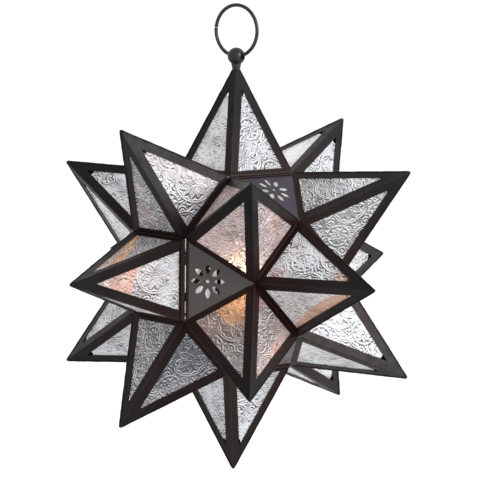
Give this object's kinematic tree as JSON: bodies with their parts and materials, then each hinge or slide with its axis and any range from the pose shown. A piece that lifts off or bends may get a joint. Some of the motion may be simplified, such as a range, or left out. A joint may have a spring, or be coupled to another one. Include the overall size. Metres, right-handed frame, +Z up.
{
  "type": "hanging star lantern",
  "caption": "Hanging star lantern: hollow points of dark sheet metal and pressed glass on a boxy core, pierced plates between them, hinged door, candle inside, ring on top.",
  "frame": {"origin": "the point at the top of the inside of the hanging ring, where a hook bears", "axes": "+Z up through the ring, the ball and the top point; +X out through the middle of the door; +Y towards the door's hinge"},
  "size_m": [0.3184, 0.3184, 0.3651],
  "materials": {
    "star_metal": "thin sheet with a dark bronze patina, satin, rubbed lighter along its folds",
    "plate_metal": "pierced sheet, grey-black patina, satin",
    "solder": "darkened solder, lumpy satin",
    "ring_metal": "dark bronze patina, satin, worn where the ring and the ball rub",
    "hinge_metal": "dark bronze patina, satin",
    "tray_metal": "dull dark sheet",
    "pressed_glass": "clear pressed glass with a scroll and rosette relief",
    "wax": "ivory wax, slightly soft at the top edge",
    "wick_cotton": "braided cotton, charred at the end"
  },
  "bodies": {
    "ring": {"hanging_ring": "ring_metal"},
    "star": {"ball_finial": "ring_metal", "body_hinge_leaf": "hinge_metal", "body_rim": "solder", "body_tip_caps": "solder", "bottom_point_frame": "star_metal", "bottom_point_panes": "pressed_glass", "candle_cup": "tray_metal", "drip_tray": "tray_metal", "hinge_pin": "hinge_metal", "left_point_frame": "star_metal", "left_point_panes": "pressed_glass", "lower_left_point_frame": "star_metal", "lower_left_point_panes": "pressed_glass", "lower_right_point_frame": "star_metal", "lower_right_point_panes": "pressed_glass", "rear_bottom_plate": "plate_metal", "rear_left_plate": "plate_metal", "rear_lower_left_point_frame": "star_metal", "rear_lower_left_point_panes": "pressed_glass", "rear_lower_right_point_frame": "star_metal", "rear_lower_right_point_panes": "pressed_glass", "rear_middle_point_frame": "star_metal", "rear_middle_point_panes": "pressed_glass", "rear_right_plate": "plate_metal", "rear_top_plate": "plate_metal", "rear_upper_left_point_frame": "star_metal", "rear_upper_left_point_panes": "pressed_glass", "rear_upper_right_point_frame": "star_metal", "rear_upper_right_point_panes": "pressed_glass", "right_point_frame": "star_metal", "right_point_panes": "pressed_glass", "top_point_frame": "star_metal", "top_point_panes": "pressed_glass", "upper_left_point_frame": "star_metal", "upper_left_point_panes": "pressed_glass", "upper_right_point_frame": "star_metal", "upper_right_point_panes": "pressed_glass"},
    "door": {"door_bottom_plate": "plate_metal", "door_catch": "hinge_metal", "door_hinge_leaf": "hinge_metal", "door_left_plate": "plate_metal", "door_lower_left_point_frame": "star_metal", "door_lower_left_point_panes": "pressed_glass", "door_lower_right_point_frame": "star_metal", "door_lower_right_point_panes": "pressed_glass", "door_middle_point_frame": "star_metal", "door_middle_point_panes": "pressed_glass", "door_right_plate": "plate_metal", "door_rim": "solder", "door_tip_caps": "solder", "door_top_plate": "plate_metal", "door_upper_left_point_frame": "star_metal", "door_upper_left_point_panes": "pressed_glass", "door_upper_right_point_frame": "star_metal", "door_upper_right_point_panes": "pressed_glass"},
    "candle": {"candle": "wax", "wick": "wick_cotton"}
  },
  "joints": [
    {"name": "star_swing", "type": "hinge", "parent": "ring", "child": "star", "pos_m": [0, 0, -0.038], "axis": [0.9744, 0.225, 0], "range_deg": [-150, 150]},
    {"name": "door_hinge", "type": "hinge", "parent": "star", "child": "door", "pos_m": [0.03288, 0.07678, -0.20316], "axis": [0, 0, 1], "range_deg": [0, 120]},
    {"name": "candle_lift", "type": "slide", "parent": "star", "child": "candle", "axis": [0, 0, 1], "range_m": [0, 0.04]}
  ]
}
